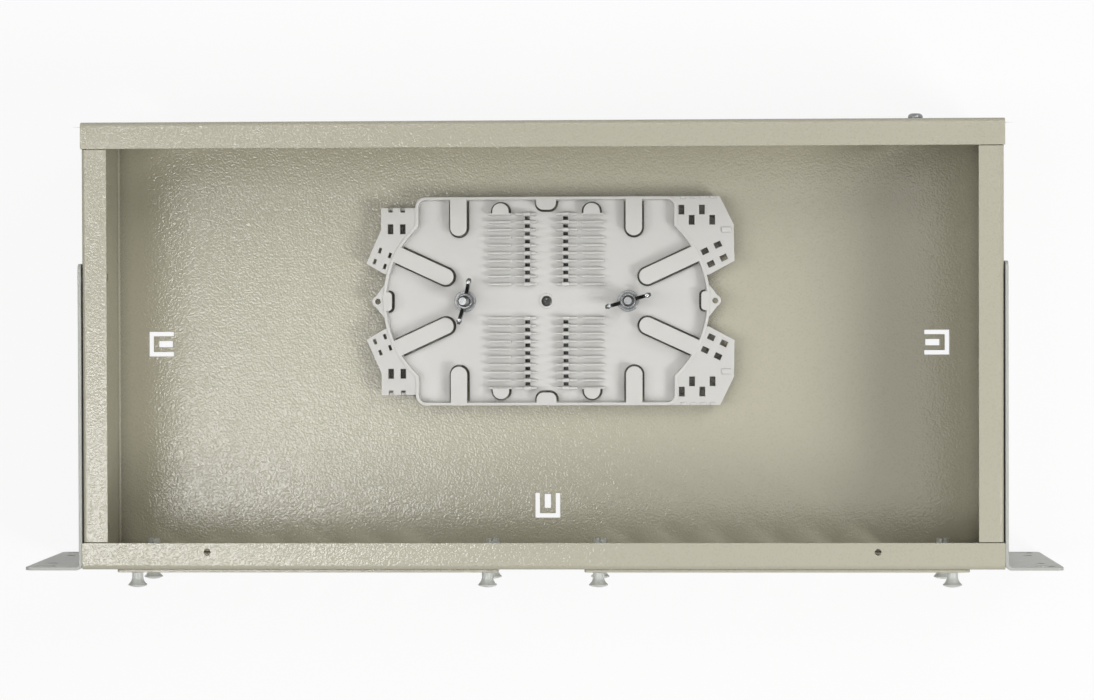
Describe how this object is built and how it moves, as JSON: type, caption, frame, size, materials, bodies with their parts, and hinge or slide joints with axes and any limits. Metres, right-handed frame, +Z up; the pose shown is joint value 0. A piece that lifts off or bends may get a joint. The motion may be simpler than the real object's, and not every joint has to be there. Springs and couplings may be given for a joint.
{
  "type": "fibre distribution box",
  "caption": "Open rack-mount fibre distribution box: a folded sheet body with ears, adapter plates on push-pull plungers and a moulded splice tray under wing nuts.",
  "frame": {"origin": "centre of the base's underside", "axes": "+X to the right seen from above with the front nearest, +Y to the rear, +Z up"},
  "size_m": [0.4826, 0.222, 0.088],
  "materials": {
    "powder_coat": "hammered gloss powder coat, warm grey",
    "ear_coat": "satin powder coat, light grey",
    "white_moulding": "satin moulded",
    "nylon": "translucent natural nylon",
    "zinc": "bright zinc plate"
  },
  "bodies": {
    "box": {"body_channel": "powder_coat", "front_panel": "powder_coat", "rear_panel": "powder_coat", "left_ear": "ear_coat", "right_ear": "ear_coat", "splice_tray": "white_moulding", "lower_left_plate": "powder_coat", "lower_right_plate": "powder_coat", "lower_grommet_1": "nylon", "lower_grommet_2": "nylon", "lower_grommet_3": "nylon", "lower_grommet_4": "nylon", "upper_left_plate": "powder_coat", "upper_right_plate": "powder_coat", "upper_grommet_1": "nylon", "upper_grommet_2": "nylon", "upper_grommet_3": "nylon", "upper_grommet_4": "nylon", "left_ear_screws": "zinc", "right_ear_screws": "zinc", "earth_screw": "zinc", "earth_washer": "zinc", "earth_nut": "zinc", "left_tray_stud": "zinc", "left_tray_spacer": "zinc", "left_tray_washer": "zinc", "right_tray_stud": "zinc", "right_tray_spacer": "zinc", "right_tray_washer": "zinc"},
    "lower_plunger_1": {"lower_plunger_1": "nylon"},
    "lower_plunger_2": {"lower_plunger_2": "nylon"},
    "lower_plunger_3": {"lower_plunger_3": "nylon"},
    "lower_plunger_4": {"lower_plunger_4": "nylon"},
    "upper_plunger_1": {"upper_plunger_1": "nylon"},
    "upper_plunger_2": {"upper_plunger_2": "nylon"},
    "upper_plunger_3": {"upper_plunger_3": "nylon"},
    "upper_plunger_4": {"upper_plunger_4": "nylon"},
    "left_wing_nut": {"left_wing_nut": "zinc"},
    "right_wing_nut": {"right_wing_nut": "zinc"}
  },
  "joints": [
    {"name": "lower_plunger_1_pull", "type": "slide", "parent": "box", "child": "lower_plunger_1", "axis": [0, -1, 0], "range_m": [0, 0.005]},
    {"name": "lower_plunger_2_pull", "type": "slide", "parent": "box", "child": "lower_plunger_2", "axis": [0, -1, 0], "range_m": [0, 0.005]},
    {"name": "lower_plunger_3_pull", "type": "slide", "parent": "box", "child": "lower_plunger_3", "axis": [0, -1, 0], "range_m": [0, 0.005]},
    {"name": "lower_plunger_4_pull", "type": "slide", "parent": "box", "child": "lower_plunger_4", "axis": [0, -1, 0], "range_m": [0, 0.005]},
    {"name": "upper_plunger_1_pull", "type": "slide", "parent": "box", "child": "upper_plunger_1", "axis": [0, -1, 0], "range_m": [0, 0.005]},
    {"name": "upper_plunger_2_pull", "type": "slide", "parent": "box", "child": "upper_plunger_2", "axis": [0, -1, 0], "range_m": [0, 0.005]},
    {"name": "upper_plunger_3_pull", "type": "slide", "parent": "box", "child": "upper_plunger_3", "axis": [0, -1, 0], "range_m": [0, 0.005]},
    {"name": "upper_plunger_4_pull", "type": "slide", "parent": "box", "child": "upper_plunger_4", "axis": [0, -1, 0], "range_m": [0, 0.005]},
    {"name": "left_wing_nut_turn", "type": "hinge", "parent": "box", "child": "left_wing_nut", "pos_m": [-0.04, 0.0207, 0.0087], "axis": [0, 0, 1], "continuous": true},
    {"name": "right_wing_nut_turn", "type": "hinge", "parent": "box", "child": "right_wing_nut", "pos_m": [0.04, 0.0207, 0.0087], "axis": [0, 0, 1], "continuous": true}
  ]
}
